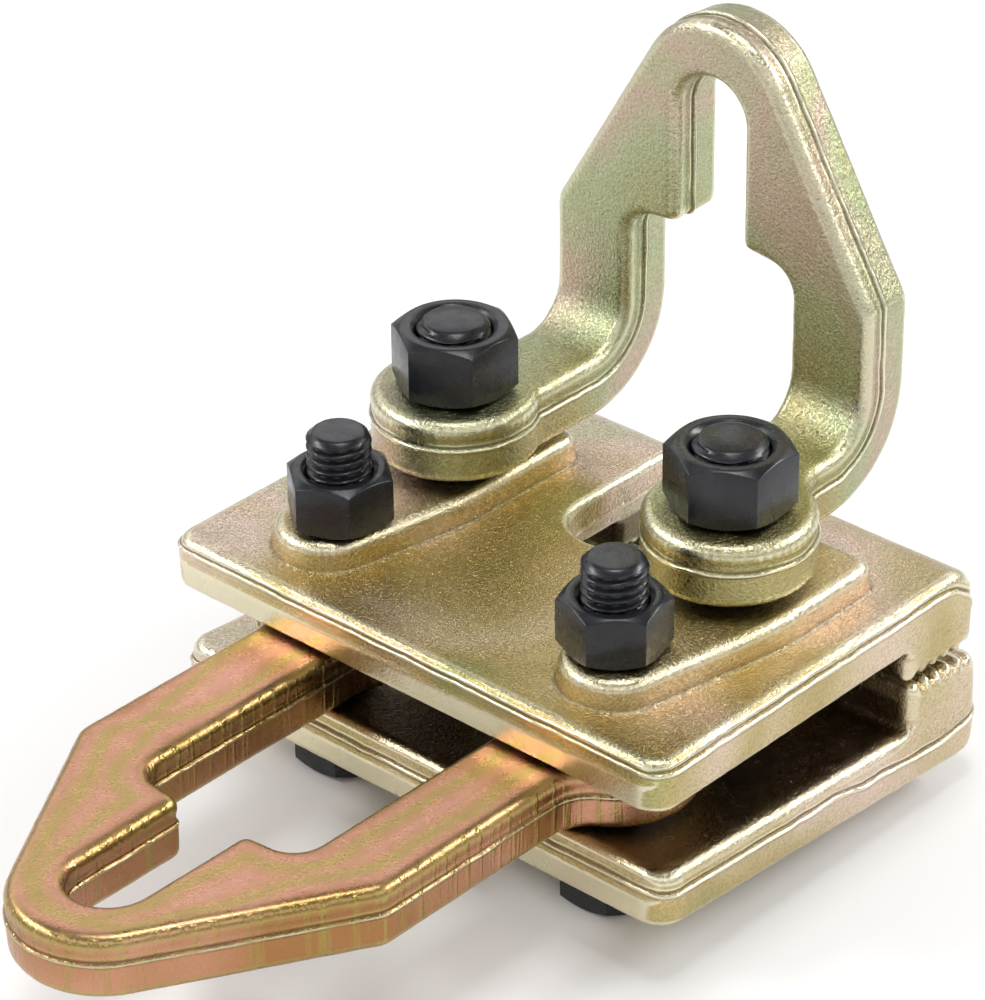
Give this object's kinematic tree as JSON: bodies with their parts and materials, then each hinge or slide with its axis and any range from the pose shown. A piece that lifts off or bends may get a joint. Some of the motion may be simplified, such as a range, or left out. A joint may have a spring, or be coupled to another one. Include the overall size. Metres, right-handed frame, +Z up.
{
  "type": "two-way pull clamp",
  "caption": "Two-way body-panel pull clamp: two forged jaws drawn together by through bolts, with a flat pull ring between them and an upright pull ring on top.",
  "frame": {"origin": "middle of the outline box, on the plane of the bolt heads that the clamp stands on", "axes": "+Z up along the bolts, +X towards the gripping edge, -X towards the flat pull ring's nose, Y across the jaws"},
  "size_m": [0.1864, 0.12, 0.1385],
  "materials": {
    "jaw_plating": "forged, yellow zinc plated",
    "flat_ring_plating": "forged, yellow zinc plated, coppery",
    "upright_ring_plating": "forged, yellow zinc plated, olive",
    "black_oxide": "black oxide"
  },
  "bodies": {
    "upper_assembly": {"upper_jaw": "jaw_plating", "upright_pull_ring": "upright_ring_plating", "spacer_left": "black_oxide", "spacer_right": "black_oxide"},
    "lower_jaw": {"lower_jaw": "jaw_plating"},
    "flat_pull_ring": {"flat_pull_ring": "flat_ring_plating"},
    "small_bolt_left": {"small_bolt_left": "black_oxide"},
    "small_nut_left": {"small_nut_left": "black_oxide"},
    "big_bolt_left": {"big_bolt_left": "black_oxide"},
    "big_nut_left": {"big_nut_left": "black_oxide"},
    "small_bolt_right": {"small_bolt_right": "black_oxide"},
    "small_nut_right": {"small_nut_right": "black_oxide"},
    "big_bolt_right": {"big_bolt_right": "black_oxide"},
    "big_nut_right": {"big_nut_right": "black_oxide"}
  },
  "joints": [
    {"name": "jaw_open", "type": "hinge", "parent": "upper_assembly", "child": "lower_jaw", "pos_m": [-0.00122, 0, 0.0227], "axis": [0, 1, 0], "range_deg": [0, 4.51]},
    {"name": "flat_ring_rock", "type": "hinge", "parent": "upper_assembly", "child": "flat_pull_ring", "pos_m": [0.01658, 0, 0.02955], "axis": [0, 1, 0], "range_deg": [-1.5, 1.5]},
    {"name": "small_bolt_left_travel", "type": "slide", "parent": "upper_assembly", "child": "small_bolt_left", "axis": [0, 0, -1], "range_m": [0, 0.00239]},
    {"name": "small_nut_left_turn", "type": "hinge", "parent": "upper_assembly", "child": "small_nut_left", "pos_m": [0.01658, 0.033, 0.0521], "axis": [0, 0, 1], "range_deg": [0, 489]},
    {"name": "big_bolt_left_travel", "type": "slide", "parent": "upper_assembly", "child": "big_bolt_left", "axis": [0, 0, -1], "range_m": [0, 0.00489]},
    {"name": "big_nut_left_turn", "type": "hinge", "parent": "upper_assembly", "child": "big_nut_left", "pos_m": [0.04778, 0.033, 0.0669], "axis": [0, 0, 1], "range_deg": [0, 881]},
    {"name": "small_bolt_right_travel", "type": "slide", "parent": "upper_assembly", "child": "small_bolt_right", "axis": [0, 0, -1], "range_m": [0, 0.00239]},
    {"name": "small_nut_right_turn", "type": "hinge", "parent": "upper_assembly", "child": "small_nut_right", "pos_m": [0.01658, -0.033, 0.0521], "axis": [0, 0, 1], "range_deg": [0, 489]},
    {"name": "big_bolt_right_travel", "type": "slide", "parent": "upper_assembly", "child": "big_bolt_right", "axis": [0, 0, -1], "range_m": [0, 0.00491]},
    {"name": "big_nut_right_turn", "type": "hinge", "parent": "upper_assembly", "child": "big_nut_right", "pos_m": [0.04778, -0.033, 0.0669], "axis": [0, 0, 1], "range_deg": [0, 881]}
  ],
  "couplings": [
    {"joint": "jaw_open", "follows": "big_bolt_left_travel", "rad_per_m": 16.077},
    {"joint": "small_bolt_left_travel", "follows": "big_bolt_left_travel", "ratio": 0.48553},
    {"joint": "small_nut_left_turn", "follows": "big_bolt_left_travel", "rad_per_m": 1743.2},
    {"joint": "big_nut_left_turn", "follows": "big_bolt_left_travel", "rad_per_m": 3141.6},
    {"joint": "small_bolt_right_travel", "follows": "big_bolt_left_travel", "ratio": 0.48553},
    {"joint": "small_nut_right_turn", "follows": "big_bolt_left_travel", "rad_per_m": 1743.2},
    {"joint": "big_bolt_right_travel", "follows": "big_bolt_left_travel", "ratio": 1},
    {"joint": "big_nut_right_turn", "follows": "big_bolt_left_travel", "rad_per_m": 3141.6}
  ]
}
